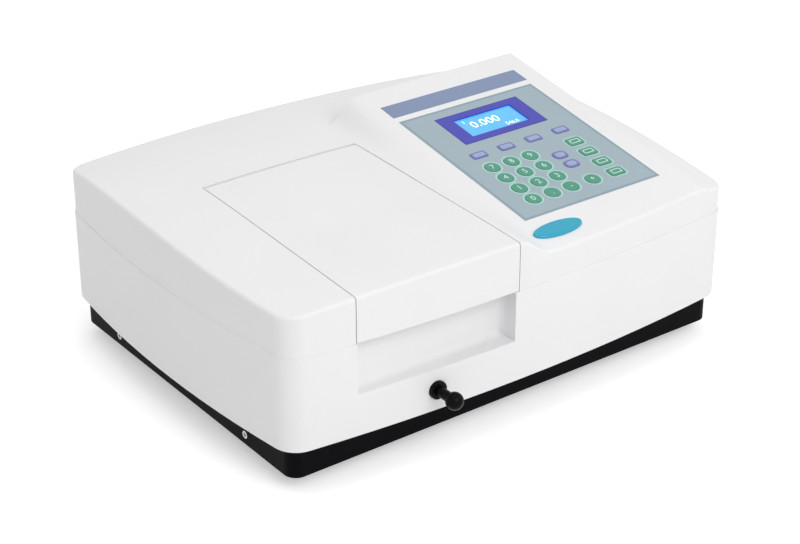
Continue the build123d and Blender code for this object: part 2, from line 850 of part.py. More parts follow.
# Monochromator tray with its nose, legs and light ports
optics_mid = ((optics_left + optics_right) / 2, (optics_front + optics_back) / 2)
optics_width = optics_right - optics_left
optics_length = optics_back - optics_front
chamber_outer = chamber_right + chamber_wall
with BuildPart() as optics_housing:
    with BuildSketch(level(optics_bottom)):
        with Locations(optics_mid):
            RectangleRounded(optics_width, optics_length, 8)
    extrude(amount=optics_height)
    with BuildSketch(level(optics_bottom + optics_wall)):
        with Locations(optics_mid):
            RectangleRounded(optics_width - 2 * optics_wall, optics_length - 2 * optics_wall, 3)
    extrude(amount=optics_height, mode=Mode.SUBTRACT)
    with BuildSketch(sideways(chamber_outer)):
        with Locations((beam_y, beam_z)):
            Circle(nose_radius)
    extrude(amount=optics_left - chamber_outer + 1)
    with BuildSketch(sideways(chamber_outer)):
        with Locations((beam_y, beam_z)):
            Circle(slit_radius)
    extrude(amount=optics_left - chamber_outer + optics_wall + 1, mode=Mode.SUBTRACT)
    with BuildSketch(upright(optics_back - optics_wall - 1)):
        with Locations((entrance_x, beam_z)):
            Circle(slit_radius)
    extrude(amount=-(optics_wall + 2), mode=Mode.SUBTRACT)
    with BuildSketch(level(optics_bottom)):
        with Locations((grating_x, grating_y)):
            Circle(shaft_radius + 3)
    extrude(amount=optics_wall, mode=Mode.SUBTRACT)
    with BuildSketch(level(tray_floor)):
        with Locations(optics_mid):
            with GridLocations(optics_width - 4 * optics_leg, optics_length - 4 * optics_leg, 2, 2):
                Circle(optics_leg)
    extrude(amount=optics_bottom - tray_floor)
save(optics_housing.part, "optics_housing")

front_inner = optics_front + optics_wall
optics_inner_floor = optics_bottom + optics_wall
with BuildPart() as optics_mirrors:
    for mirror_x in (entrance_x, camera_mirror_x):
        with BuildSketch(upright(front_inner)):
            with Locations((mirror_x, beam_z)):
                Rectangle(mirror_radius, mirror_radius)
        extrude(amount=-mirror_seat)
        with BuildSketch(upright(front_inner + mirror_seat)):
            with Locations((mirror_x, beam_z)):
                Circle(mirror_radius)
        extrude(amount=-mirror_thick)
    with BuildSketch(level(optics_inner_floor)):
        with Locations((camera_mirror_x, beam_y)):
            Rectangle(18, 3, rotation=45)
    extrude(amount=beam_z + 9 - optics_inner_floor)
save(optics_mirrors.part, "optics_mirrors")

# Three equal stepper motors: under the grating, under the source mirror, behind the filter wheel
mirror_x = entrance_x
lamp_floor = tray_floor + lamp_wall
filter_z = beam_z - filter_orbit
filter_motor_y = lamp_front - motor_length
with BuildPart() as stepper_motors:
    grating_motor = (grating_x, grating_y, optics_bottom)
    mirror_motor = (mirror_x, lamp_axis_y, lamp_floor + motor_length)
    for x, y, z in (grating_motor, mirror_motor):
        with BuildSketch(level(z)):
            with Locations((x, y)):
                RectangleRounded(motor_size, motor_size, 3)
        extrude(amount=-motor_length)
        with BuildSketch(level(z)):
            with Locations((x, y)):
                Circle(shaft_radius)
        extrude(amount=shaft_length)
    with BuildSketch(upright(filter_motor_y)):
        with Locations((entrance_x, filter_z)):
            RectangleRounded(motor_size, motor_size, 3)
    extrude(amount=-motor_length)
    with BuildSketch(upright(filter_motor_y)):
        with Locations((entrance_x, filter_z)):
            Circle(shaft_radius)
    extrude(amount=shaft_length)
save(stepper_motors.part, "stepper_motors")

# Grating on its turntable
hub_low = optics_bottom + optics_wall + 1
shaft_top = optics_bottom + shaft_length
with BuildPart() as grating_table:
    with BuildSketch(level(hub_low)):
        with Locations((grating_x, grating_y)):
            Circle(8)
    extrude(amount=shaft_top - hub_low)
    with BuildSketch(level(shaft_top - table_thick + 2)):
        with Locations((grating_x, grating_y)):
            Circle(table_radius)
    extrude(amount=table_thick)
    with BuildSketch(level(shaft_top + 2)):
        with Locations((grating_x, grating_y)):
            Rectangle(grating_size[0], grating_size[1])
    extrude(amount=grating_size[2])
    with BuildSketch(level(hub_low)):
        with Locations((grating_x, grating_y)):
            Circle(shaft_radius + run_clearance)
    extrude(amount=shaft_top - hub_low + 0.5, mode=Mode.SUBTRACT)
save(grating_table.part, "grating_table")

# Filter wheel with its filter holes
wheel_front = filter_motor_y - shaft_length + 4
with BuildPart() as filter_wheel:
    with BuildSketch(upright(wheel_front + filter_thick)):
        with Locations((entrance_x, filter_z)):
            Circle(filter_radius)
            with PolarLocations(filter_orbit, filter_count, start_angle=90):
                Circle(filter_hole, mode=Mode.SUBTRACT)
    extrude(amount=filter_thick)
    with BuildSketch(upright(filter_motor_y - 1)):
        with Locations((entrance_x, filter_z)):
            Circle(6)
    extrude(amount=filter_motor_y - 1 - wheel_front)
    with BuildSketch(upright(filter_motor_y)):
        with Locations((entrance_x, filter_z)):
            Circle(shaft_radius + run_clearance)
    extrude(amount=shaft_length, mode=Mode.SUBTRACT)
save(filter_wheel.part, "filter_wheel")

# Lamp house, its two lamps and the turning source mirror
lamp_mid = ((lamp_left + lamp_right) / 2, (lamp_front + lamp_back) / 2)
lamp_width = lamp_right - lamp_left
lamp_length = lamp_back - lamp_front
with BuildPart() as lamp_house:
    with BuildSketch(level(tray_floor)):
        with Locations(lamp_mid):
            Rectangle(lamp_width, lamp_length)
    extrude(amount=lamp_height)
    with BuildSketch(level(lamp_floor)):
        with Locations(lamp_mid):
            Rectangle(lamp_width - 2 * lamp_wall, lamp_length - 2 * lamp_wall)
    extrude(amount=lamp_height, mode=Mode.SUBTRACT)
    with BuildSketch(upright(lamp_front + lamp_wall + 1)):
        with Locations((entrance_x, beam_z)):
            Circle(slit_radius)
        with Locations((lamp_mid[0], tray_floor + 12)):
            with GridLocations(vent_pitch, 1, 15, 1):
                SlotOverall(14, vent_width, rotation=90)
    extrude(amount=lamp_wall + 2, mode=Mode.SUBTRACT)
save(lamp_house.part, "lamp_house")

with BuildPart() as tungsten_lamp:
    with BuildSketch(level(lamp_floor)):
        with Locations((tungsten_x, lamp_axis_y)):
            Rectangle(30, 24)
    extrude(amount=beam_z - 24 - lamp_floor)
    with BuildSketch(level(beam_z - 24)):
        with Locations((tungsten_x, lamp_axis_y)):
            Circle(8)
    extrude(amount=10)
    with BuildSketch(level(beam_z - 14)):
        with Locations((tungsten_x, lamp_axis_y)):
            Circle(5.5)
    extrude(amount=24)
    fillet(tungsten_lamp.edges().sort_by(Axis.Z)[-1], 4)
save(tungsten_lamp.part, "tungsten_lamp")

with BuildPart() as deuterium_lamp:
    with BuildSketch(level(lamp_floor)):
        with Locations((deuterium_x, lamp_axis_y)):
            Rectangle(32, 36)
    extrude(amount=beam_z - 32 - lamp_floor)
    with BuildSketch(level(beam_z - 32)):
        with Locations((deuterium_x, lamp_axis_y)):
            Circle(13)
    extrude(amount=50)
    fillet(deuterium_lamp.edges().sort_by(Axis.Z)[-1], 8)
save(deuterium_lamp.part, "deuterium_lamp")

mirror_low = lamp_floor + motor_length + 1
mirror_shaft_top = lamp_floor + motor_length + shaft_length
with BuildPart() as source_mirror:
    with BuildSketch(level(mirror_low)):
        with Locations((mirror_x, lamp_axis_y)):
            Circle(6)
    extrude(amount=beam_z - 12 - mirror_low)
    with BuildSketch(level(beam_z - 12)):
        with Locations((mirror_x, lamp_axis_y)):
            Rectangle(24, 4, rotation=45)
    extrude(amount=24)
    with BuildSketch(level(mirror_low)):
        with Locations((mirror_x, lamp_axis_y)):
            Circle(shaft_radius + run_clearance)
    extrude(amount=mirror_shaft_top - mirror_low + 0.5, mode=Mode.SUBTRACT)
save(source_mirror.part, "source_mirror")

# Detector block on two legs
detector_mid_x = chamber_left - chamber_wall - detector_size[0] / 2
with BuildPart() as detector_block:
    with BuildSketch(level(beam_z - detector_size[2] / 2)):
        with Locations((detector_mid_x, beam_y)):
            RectangleRounded(detector_size[0], detector_size[1], 3)
    extrude(amount=detector_size[2])
    with BuildSketch(sideways(chamber_left - chamber_wall)):
        with Locations((beam_y, beam_z)):
            Circle(window_radius - 1)
    extrude(amount=-30, mode=Mode.SUBTRACT)
    with BuildSketch(level(tray_floor)):
        with Locations((detector_mid_x, beam_y)):
            with GridLocations(30, 24, 2, 2):
                Circle(4)
    extrude(amount=beam_z - detector_size[2] / 2 - tray_floor)
save(detector_block.part, "detector_block")

# Main board with its chips, and the boxed power supply
board_z = tray_floor + post_height
with BuildPart() as main_board:
    with BuildSketch(level(board_z)):
        with Locations(board_centre):
            RectangleRounded(board_size[0], board_size[1], 3)
    extrude(amount=board_thick)
    with BuildSketch(level(board_z + board_thick)):
        with Locations(board_centre):
            with GridLocations(30, 26, 2, 2):
                Rectangle(20, 14)
            with Locations((0, board_size[1] / 2 - 6)):
                Rectangle(60, 7)
    extrude(amount=4)
save(main_board.part, "main_board")

with BuildPart() as power_supply:
    with BuildSketch(level(tray_floor)):
        with Locations(supply_centre):
            RectangleRounded(supply_size[0], supply_size[1], 2)
    extrude(amount=supply_size[2])
    with BuildSketch(level(tray_floor + supply_size[2])):
        with Locations(supply_centre):
            with GridLocations(1, vent_pitch, 1, 8):
                SlotOverall(100, vent_width)
    extrude(amount=-2, mode=Mode.SUBTRACT)
save(power_supply.part, "power_supply")

# Cooling fan behind the vent slots
bay_inner = bay_face - wall
fan_front = bay_inner - fan_thick
with BuildPart() as fan_frame:
    with BuildSketch(upright(bay_inner)):
        with Locations((fan_x, service_z)):
            RectangleRounded(fan_size, fan_size, 4)
            Circle(fan_bore, mode=Mode.SUBTRACT)
            with GridLocations(fan_size - 10, fan_size - 10, 2, 2):
                Circle(2.2, mode=Mode.SUBTRACT)
    extrude(amount=fan_thick)
    with BuildSketch(upright(fan_front + 3)):
        with Locations((fan_x, service_z)):
            Circle(hub_radius)
            Rectangle(2 * fan_bore + 1, 5)
            Rectangle(5, 2 * fan_bore + 1)
    extrude(amount=3)
    with BuildSketch(upright(fan_front + 14)):
        with Locations((fan_x, service_z)):
            Circle(pin_radius)
    extrude(amount=12)
save(fan_frame.part, "fan_frame")

rotor_front = fan_front + 3.6
with BuildPart() as fan_rotor:
    with BuildSketch(upright(bay_inner - 3)):
        with Locations((fan_x, service_z)):
            Circle(hub_radius)
    extrude(amount=bay_inner - 3 - rotor_front)
    for blade in range(blade_count):
        angle = radians(360 * blade / blade_count)
        blade_mid = (hub_radius + rotor_radius) / 2 - 0.5
        blade_x = fan_x + blade_mid * cos(angle)
        blade_z = service_z + blade_mid * sin(angle)
        blade_plane = Plane(
            origin=(blade_x, mid_y + (rotor_front + bay_inner - 3) / 2, blade_z),
            x_dir=(-sin(angle) * 0.8, 0.6, cos(angle) * 0.8),
            z_dir=(cos(angle), 0, sin(angle)),
        )
        with BuildSketch(blade_plane):
            Rectangle(16, 1.4)
        extrude(amount=(rotor_radius - hub_radius) / 2, both=True)
    with BuildSketch(upright(fan_front + 14.4)):
        with Locations((fan_x, service_z)):
            Circle(pin_radius + pin_clearance)
    extrude(amount=20, mode=Mode.SUBTRACT)
save(fan_rotor.part, "fan_rotor")

# Mains module: inlet socket with its three blades, and the frame of the rocker switch
socket_x = module_x - socket_offset
switch_x = module_x - switch_offset
pivot_depth = bay_face + module_flange - 3.5
with BuildPart() as power_inlet:
    with BuildSketch(upright(bay_face)):
        with Locations((module_x, service_z)):
            RectangleRounded(module_size[0], module_size[1], 3)
    extrude(amount=-module_flange)
    with BuildSketch(upright(bay_face)):
        with Locations((module_x, service_z)):
            Rectangle(*module_body)
    extrude(amount=module_depth)
    with BuildSketch(upright(bay_face + module_flange)):
        with Locations((socket_x, service_z)):
            RectangleRounded(socket_size[0], socket_size[1], 2.5)
    extrude(amount=socket_depth, mode=Mode.SUBTRACT)
    with BuildSketch(upright(bay_face + module_flange)):
        with Locations((switch_x, service_z)):
            Rectangle(*switch_size)
    extrude(amount=module_depth - 4, mode=Mode.SUBTRACT)
    with BuildSketch(upright(bay_face + module_flange - socket_depth)):
        with Locations((socket_x - 7, service_z - 1), (socket_x, service_z + 3), (socket_x + 7, service_z - 1)):
            Rectangle(*blade_size)
    extrude(amount=-9)
    with BuildSketch(sideways(switch_x)):
        with Locations((pivot_depth, service_z)):
            Circle(pin_radius)
    extrude(amount=switch_size[0] / 2 + 1.6, both=True, mode=Mode.SUBTRACT)
save(power_inlet.part, "power_inlet")

with BuildPart() as power_rocker:
    with BuildSketch(sideways(switch_x)):
        with Locations((pivot_depth, service_z)):
            Circle(rocker_radius)
            rocker_outline = Polygon(
                (-3, -12), (-3, 12), (6, 12), (6, 8), (4.5, 0), (6, -8), (6, -12),
                align=None,
                rotation=rocker_tilt,
                mode=Mode.INTERSECT,
            )
    extrude(amount=switch_size[0] / 2 - rocker_gap, both=True)
    with BuildSketch(sideways(switch_x)):
        with Locations((pivot_depth, service_z)):
            Circle(pin_radius - pin_clearance)
    extrude(amount=switch_size[0] / 2 + 1.2, both=True)
save(power_rocker.part, "power_rocker")

# Side screws through the tray into the housing's lugs
with BuildPart() as side_screws:
    for side in (-1, 1):
        with BuildSketch(sideways(side * base_width / 2)):
            with Locations((-screw_spread / 2, lift + screw_height), (screw_spread / 2, lift + screw_height)):
                Circle(screw_head)
        extrude(amount=side * 2)
        with BuildSketch(sideways(side * base_width / 2)):
            with Locations((-screw_spread / 2, lift + screw_height), (screw_spread / 2, lift + screw_height)):
                Circle(screw_shank)
        extrude(amount=-side * screw_length)
        with BuildSketch(sideways(side * (base_width / 2 + 2))):
            with Locations((-screw_spread / 2, lift + screw_height), (screw_spread / 2, lift + screw_height)):
                Rectangle(4, 1)
                Rectangle(1, 4)
        extrude(amount=-side * 1, mode=Mode.SUBTRACT)
save(side_screws.part, "side_screws")
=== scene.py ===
import bpy
import bmesh
import math
from mathutils import Matrix, Vector


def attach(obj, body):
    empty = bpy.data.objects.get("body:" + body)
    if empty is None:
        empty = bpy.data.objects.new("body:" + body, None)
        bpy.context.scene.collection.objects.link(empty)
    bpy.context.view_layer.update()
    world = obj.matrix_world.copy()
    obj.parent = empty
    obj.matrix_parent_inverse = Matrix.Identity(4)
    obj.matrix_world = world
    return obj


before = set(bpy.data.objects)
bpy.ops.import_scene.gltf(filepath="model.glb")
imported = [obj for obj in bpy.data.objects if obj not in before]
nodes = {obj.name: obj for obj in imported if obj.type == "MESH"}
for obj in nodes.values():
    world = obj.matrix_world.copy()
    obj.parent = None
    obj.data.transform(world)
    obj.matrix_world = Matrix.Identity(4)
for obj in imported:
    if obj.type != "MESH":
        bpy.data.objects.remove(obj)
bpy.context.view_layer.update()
print("frame loaded:", len(nodes), "CAD nodes")


# camera, floor and lights

camera = {
    "place": (-0.9060, -1.2122, 0.8482),
    "azimuth": -36.568,
    "height": 27.48,
    "lens": 91.48,
}


def addCamera(values):
    turn = math.radians(values["azimuth"])
    rise = math.radians(values["height"])
    right = Vector((math.cos(turn), math.sin(turn), 0))
    back = Vector((math.sin(turn) * math.cos(rise), -math.cos(turn) * math.cos(rise), math.sin(rise)))
    up = back.cross(right)
    data = bpy.data.cameras.new("camera")
    data.lens = values["lens"]
    data.sensor_width = 36
    data.clip_start = 0.05
    obj = bpy.data.objects.new("camera", data)
    axes = Matrix((right, up, back)).transposed().to_4x4()
    obj.matrix_world = Matrix.Translation(values["place"]) @ axes
    bpy.context.scene.collection.objects.link(obj)
    bpy.context.scene.camera = obj


def link(name, mesh):
    obj = bpy.data.objects.new(name, mesh)
    bpy.context.scene.collection.objects.link(obj)
    return obj


def paleFor(tree, x):
    # camera, mirror and glass rays see the plain white of the photograph
    path = tree.nodes.new("ShaderNodeLightPath")
    path.location = (x, 300)
    either = tree.nodes.new("ShaderNodeMath")
    either.operation = "MAXIMUM"
    tree.links.new(path.outputs["Is Camera Ray"], either.inputs[0])
    tree.links.new(path.outputs["Is Glossy Ray"], either.inputs[1])
    both = tree.nodes.new("ShaderNodeMath")
    both.operation = "MAXIMUM"
    tree.links.new(either.outputs[0], both.inputs[0])
    tree.links.new(path.outputs["Is Transmission Ray"], both.inputs[1])
    return both.outputs[0]


floorValues = {"size": 6.0, "colour": (0.90, 0.90, 0.90, 1), "glow": 0.40}


def addFloor(values):
    mesh = bpy.data.meshes.new("floor")
    half = values["size"] / 2
    corners = [(-half, -half, 0), (half, -half, 0), (half, half, 0), (-half, half, 0)]
    mesh.from_pydata(corners, [], [(0, 1, 2, 3)])
    floor = link("floor", mesh)
    mat = bpy.data.materials.new("paleFloor")
    mat.use_nodes = True
    tree = mat.node_tree
    bsdf = tree.nodes["Principled BSDF"]
    bsdf.inputs["Base Color"].default_value = values["colour"]
    bsdf.inputs["Roughness"].default_value = 0.9
    bsdf.inputs["Specular IOR Level"].default_value = 0.0
    seen = paleFor(tree, -600)
    scale = tree.nodes.new("ShaderNodeMath")
    scale.operation = "MULTIPLY"
    scale.inputs[1].default_value = values["glow"]
    tree.links.new(seen, scale.inputs[0])
    bsdf.inputs["Emission Color"].default_value = (1, 1, 1, 1)
    tree.links.new(scale.outputs[0], bsdf.inputs["Emission Strength"])
    mesh.materials.append(mat)


studio = {"level": 0.60, "seen": 1.0}  # world strength on the object, and where the camera or gloss sees it

lights = {
    "key": {"place": (-0.1, -2.1, 1.7), "aim": (0, 0, 0.1), "size": 1.6, "power": 24},
    "fill": {"place": (1.8, -1.2, 1.8), "aim": (0, 0, 0.08), "size": 1.8, "power": 4},
    "top": {"place": (-0.1, 0.5, 2.5), "aim": (0, 0, 0.1), "size": 1.8, "power": 11},
}


def addLights(values):
    for name, spec in values.items():
        data = bpy.data.lights.new(name, "AREA")
        data.shape = "SQUARE"
        data.size = spec["size"]
        data.energy = spec["power"]
        lamp = bpy.data.objects.new(name, data)
        lamp.location = spec["place"]
        aim = Vector(spec["aim"]) - Vector(spec["place"])
        lamp.rotation_euler = aim.to_track_quat("-Z", "Y").to_euler()
        bpy.context.scene.collection.objects.link(lamp)
    world = bpy.data.worlds.new("studio")
    world.use_nodes = True
    tree = world.node_tree
    ground = tree.nodes["Background"]
    ground.inputs["Color"].default_value = (1, 1, 1, 1)
    seen = paleFor(tree, -600)
    level = tree.nodes.new("ShaderNodeMapRange")
    level.inputs["To Min"].default_value = studio["level"]
    level.inputs["To Max"].default_value = studio["seen"]
    tree.links.new(seen, level.inputs["Value"])
    tree.links.new(level.outputs[0], ground.inputs["Strength"])
    bpy.context.scene.world = world
    bpy.context.scene.view_settings.view_transform = "Standard"


addCamera(camera)
addFloor(floorValues)
addLights(lights)
print("camera, floor and lights placed")


# shared shader effects

def makeGroup(name, inputs, outputs):
    group = bpy.data.node_groups.new(name, "ShaderNodeTree")
    for label, kind, value in inputs:
        socket = group.interface.new_socket(label, in_out="INPUT", socket_type=kind)
        if value is not None:
            socket.default_value = value
    for label, kind in outputs:
        group.interface.new_socket(label, in_out="OUTPUT", socket_type=kind)
    start = group.nodes.new("NodeGroupInput")
    end = group.nodes.new("NodeGroupOutput")
    start.location = (-700, 0)
    end.location = (500, 0)
    return group, start, end


def noiseInto(group, start, vector, scaleName, detail, x, y):
    noise = group.nodes.new("ShaderNodeTexNoise")
    noise.location = (x, y)
    noise.inputs["Detail"].default_value = detail
    group.links.new(vector, noise.inputs["Vector"])
    group.links.new(start.outputs[scaleName], noise.inputs["Scale"])
    return noise.outputs["Fac"]


def buildMouldGrain():
    # fine moulded grain over a slow variation of tone
    group, start, end = makeGroup(
        "mouldGrain",
        [
            ("Vector", "NodeSocketVector", None),
            ("Grain Scale", "NodeSocketFloat", 1800.0),
            ("Tone Scale", "NodeSocketFloat", 9.0),
        ],
        [("Height", "NodeSocketFloat"), ("Tone", "NodeSocketFloat")],
    )
    grain = noiseInto(group, start, start.outputs["Vector"], "Grain Scale", 2.0, -300, 120)
    tone = noiseInto(group, start, start.outputs["Vector"], "Tone Scale", 3.0, -300, -160)
    group.links.new(grain, end.inputs["Height"])
    group.links.new(tone, end.inputs["Tone"])
    return group


def buildBrushing():
    # long scratches along one axis
    group, start, end = makeGroup(
        "brushing",
        [
            ("Vector", "NodeSocketVector", None),
            ("Scratch Scale", "NodeSocketFloat", 300.0),
            ("Stretch", "NodeSocketVector", (1.0, 0.03, 1.0)),
        ],
        [("Height", "NodeSocketFloat"), ("Tone", "NodeSocketFloat")],
    )
    stretch = group.nodes.new("ShaderNodeVectorMath")
    stretch.operation = "MULTIPLY"
    group.links.new(start.outputs["Vector"], stretch.inputs[0])
    group.links.new(start.outputs["Stretch"], stretch.inputs[1])
    line = noiseInto(group, start, stretch.outputs[0], "Scratch Scale", 4.0, -250, 100)
    group.links.new(line, end.inputs["Height"])
    group.links.new(line, end.inputs["Tone"])
    return group


mouldGrain = buildMouldGrain()
brushing = buildBrushing()


def startMaterial(name, roughness, metallic=0.0):
    mat = bpy.data.materials.new(name)
    mat.use_nodes = True
    tree = mat.node_tree
    bsdf = tree.nodes["Principled BSDF"]
    bsdf.inputs["Roughness"].default_value = roughness
    bsdf.inputs["Metallic"].default_value = metallic
    place = tree.nodes.new("ShaderNodeTexCoord")
    place.location = (-1100, 0)
    return mat, tree, bsdf, place.outputs["Object"]


def useGroup(tree, group, vector, values):
    node = tree.nodes.new("ShaderNodeGroup")
    node.node_tree = group
    node.location = (-800, 0)
    tree.links.new(vector, node.inputs["Vector"])
    for label, value in values.items():
        node.inputs[label].default_value = value
    return node


def blendColours(tree, factor, low, high):
    mix = tree.nodes.new("ShaderNodeMix")
    mix.data_type = "RGBA"
    mix.location = (-400, 200)
    mix.inputs["A"].default_value = (*low, 1)
    mix.inputs["B"].default_value = (*high, 1)
    tree.links.new(factor, mix.inputs["Factor"])
    return mix.outputs["Result"]


def spread(tree, value, low, high):
    node = tree.nodes.new("ShaderNodeMapRange")
    node.location = (-400, -100)
    node.inputs["From Min"].default_value = 0.3
    node.inputs["From Max"].default_value = 0.7
    node.inputs["To Min"].default_value = low
    node.inputs["To Max"].default_value = high
    tree.links.new(value, node.inputs["Value"])
    return node.outputs[0]


def addBump(tree, bsdf, height, strength, distance):
    bump = tree.nodes.new("ShaderNodeBump")
    bump.location = (-300, -350)
    bump.inputs["Strength"].default_value = strength
    bump.inputs["Distance"].default_value = distance
    tree.links.new(height, bump.inputs["Height"])
    tree.links.new(bump.outputs["Normal"], bsdf.inputs["Normal"])


# how far roughness wanders over a face, how coarse the slow tone is, and how deep each relief is
plasticSpread = 0.05
metalSpread = 0.08
plasticTone = 9.0
castTone = 25.0
grainDepth = 0.0002
scratchDepth = 0.0001
castDepth = 0.0004
castBump = 0.35
coatRoughness = 0.08


def mouldedPlastic(name, low, high, roughness, grain, bump, specular=0.5, coat=0.0):
    mat, tree, bsdf, vector = startMaterial(name, roughness)
    node = useGroup(tree, mouldGrain, vector, {"Grain Scale": grain, "Tone Scale": plasticTone})
    tree.links.new(blendColours(tree, node.outputs["Tone"], low, high), bsdf.inputs["Base Color"])
    matt = spread(tree, node.outputs["Tone"], roughness - plasticSpread, roughness + plasticSpread)
    tree.links.new(matt, bsdf.inputs["Roughness"])
    addBump(tree, bsdf, node.outputs["Height"], bump, grainDepth)
    bsdf.inputs["Specular IOR Level"].default_value = specular
    bsdf.inputs["Coat Weight"].default_value = coat
    bsdf.inputs["Coat Roughness"].default_value = coatRoughness
    return mat


def brushedMetal(name, low, high, roughness, scale, stretch, bump):
    mat, tree, bsdf, vector = startMaterial(name, roughness, 1.0)
    node = useGroup(tree, brushing, vector, {"Scratch Scale": scale, "Stretch": stretch})
    tree.links.new(blendColours(tree, node.outputs["Tone"], low, high), bsdf.inputs["Base Color"])
    matt = spread(tree, node.outputs["Tone"], roughness - metalSpread, roughness + metalSpread)
    tree.links.new(matt, bsdf.inputs["Roughness"])
    addBump(tree, bsdf, node.outputs["Height"], bump, scratchDepth)
    return mat


def castMetal(name, low, high, roughness, scale, metallic):
    mat, tree, bsdf, vector = startMaterial(name, roughness, metallic)
    node = useGroup(tree, mouldGrain, vector, {"Grain Scale": scale, "Tone Scale": castTone})
    tree.links.new(blendColours(tree, node.outputs["Tone"], low, high), bsdf.inputs["Base Color"])
    addBump(tree, bsdf, node.outputs["Height"], castBump, castDepth)
    return mat


def dress(names, mat):
    for name in names:
        slots = nodes[name].data.materials
        if len(slots) == 0:
            slots.append(mat)
        for index in range(len(slots)):
            slots[index] = mat


print("shader groups ready")


# housing, base and feet

housingFinish = {
    "low": (0.81, 0.81, 0.82), "high": (0.87, 0.87, 0.875), "roughness": 0.45, "grain": 2200.0,
    "bump": 0.12, "specular": 0.3,
}
housingPlastic = mouldedPlastic("housingPlastic", **housingFinish)
dress(["lower_housing", "upper_cover", "sample_lid"], housingPlastic)

baseFinish = {
    "low": (0.003, 0.003, 0.004), "high": (0.004, 0.004, 0.005), "roughness": 0.40,
    "grain": 1500.0, "bump": 0.2, "specular": 0.03,
}
basePaint = mouldedPlastic("basePaint", **baseFinish)
dress(["base_tray"], basePaint)

rubberFinish = {
    "low": (0.018, 0.018, 0.018), "high": (0.032, 0.032, 0.032), "roughness": 0.8, "grain": 900.0,
    "bump": 0.3,
}
softRubber = mouldedPlastic("softRubber", **rubberFinish)
dress(["feet", "light_seal"], softRubber)

blackFinish = {
    "low": (0.002, 0.002, 0.003), "high": (0.005, 0.005, 0.006), "roughness": 0.22,
    "grain": 1800.0, "bump": 0.06, "specular": 0.06,
}
blackPlastic = mouldedPlastic("blackPlastic", **blackFinish)
dress(["rod_knob", "rod_bushing", "power_inlet", "power_rocker", "fan_frame", "fan_rotor"], blackPlastic)
print("housing dressed")


# console: panel, display, keys and badge

panelFinish = {
    "low": (0.31, 0.40, 0.45), "high": (0.37, 0.46, 0.51), "roughness": 0.36, "grain": 2600.0,
    "bump": 0.08,
}
panelFilm = mouldedPlastic("panelFilm", **panelFinish)
dress(["keypad_panel"], panelFilm)

titleFinish = {
    "low": (0.17, 0.23, 0.38), "high": (0.22, 0.29, 0.46), "roughness": 0.32, "grain": 2600.0,
    "bump": 0.06,
}
titleFilm = mouldedPlastic("titleFilm", **titleFinish)
dress(["title_strip"], titleFilm)

bezelFinish = {
    "low": (0.050, 0.055, 0.40), "high": (0.080, 0.075, 0.50), "roughness": 0.25, "grain": 2600.0,
    "bump": 0.05, "specular": 0.22,
}
bezelFilm = mouldedPlastic("bezelFilm", **bezelFinish)
dress(["display_bezel"], bezelFilm)

greenFinish = {
    "low": (0.045, 0.26, 0.17), "high": (0.07, 0.34, 0.23), "roughness": 0.35, "grain": 2400.0,
    "bump": 0.1,
}
greenKey = mouldedPlastic("greenKey", **greenFinish)
violetFinish = {
    "low": (0.15, 0.15, 0.44), "high": (0.20, 0.19, 0.52), "roughness": 0.35, "grain": 2400.0,
    "bump": 0.1,
}
violetKey = mouldedPlastic("violetKey", **violetFinish)
greenNames = [n for n in nodes if n.startswith("key_round") or n.startswith("key_command")]
violetNames = [n for n in nodes if n.startswith("key_function") or n.startswith("key_arrow")]
dress(greenNames, greenKey)
dress(violetNames, violetKey)

badgeFinish = {
    "low": (0.005, 0.30, 0.46), "high": (0.010, 0.40, 0.58), "roughness": 0.15, "grain": 300.0,
    "bump": 0.02, "specular": 0.3, "coat": 0.25,
}
badgeResin = mouldedPlastic("badgeResin", **badgeFinish)
dress(["oval_badge"], badgeResin)


def litDisplay(name, dark, bright, strength):
    mat, tree, bsdf, vector = startMaterial(name, 0.2)
    node = useGroup(tree, mouldGrain, vector, {"Grain Scale": 1500.0, "Tone Scale": 30.0})
    glow = blendColours(tree, node.outputs["Tone"], dark, bright)
    tree.links.new(glow, bsdf.inputs["Base Color"])
    tree.links.new(glow, bsdf.inputs["Emission Color"])
    bsdf.inputs["Emission Strength"].default_value = strength
    return mat


displayFinish = {"dark": (0.03, 0.26, 0.90), "bright": (0.10, 0.42, 1.0), "strength": 0.55}
dress(["display_module"], litDisplay("displayGlow", **displayFinish))


# places on the console, in the plane of its panel

console = {"origin": (0.0985, -0.03623, 0.16101), "slope": 0.1575, "panelTop": 0.0002, "keyTop": 0.0008}
consoleTilt = math.atan(console["slope"])


def onConsole(across, along, above):
    # across is +X, along goes up the slope, above stands out of the panel
    rise = Vector((0, math.cos(consoleTilt), math.sin(consoleTilt)))
    out = Vector((0, -math.sin(consoleTilt), math.cos(consoleTilt)))
    return Vector(console["origin"]) + Vector((across, 0, 0)) + rise * along + out * above


def onConsoleMatrix(across, along, above):
    return Matrix.Translation(onConsole(across, along, above)) @ Matrix.Rotation(consoleTilt, 4, "X")


keyRows = [-0.0097, -0.0273, -0.0449, -0.0625]
roundColumns = [-0.0455, -0.0255, -0.0055]
functionColumns = [-0.0435, -0.0145, 0.0145, 0.0440]
arrowColumn = 0.0174
commandColumn = 0.0427
functionRow = 0.0108
roundPlaces = {}
for row, v in enumerate(keyRows):
    for column, u in enumerate(roundColumns):
        roundPlaces[f"key_round_{row + 1}{column + 1}"] = (u, v)
roundPlaces["key_round_44"] = (arrowColumn, keyRows[3])
commandPlaces = {f"key_command_{row + 1}": (commandColumn, v) for row, v in enumerate(keyRows)}
functionPlaces = {f"key_function_{column + 1}": (u, functionRow) for column, u in enumerate(functionColumns)}
arrowPlaces = {"key_arrow_up": (arrowColumn, -0.0208), "key_arrow_down": (arrowColumn, -0.0358)}


def plainInk(name, low, high, roughness):
    return mouldedPlastic(name, low, high, roughness, 2600.0, 0.05)


# printed rings: one tree lays a flat rounded ring at each point

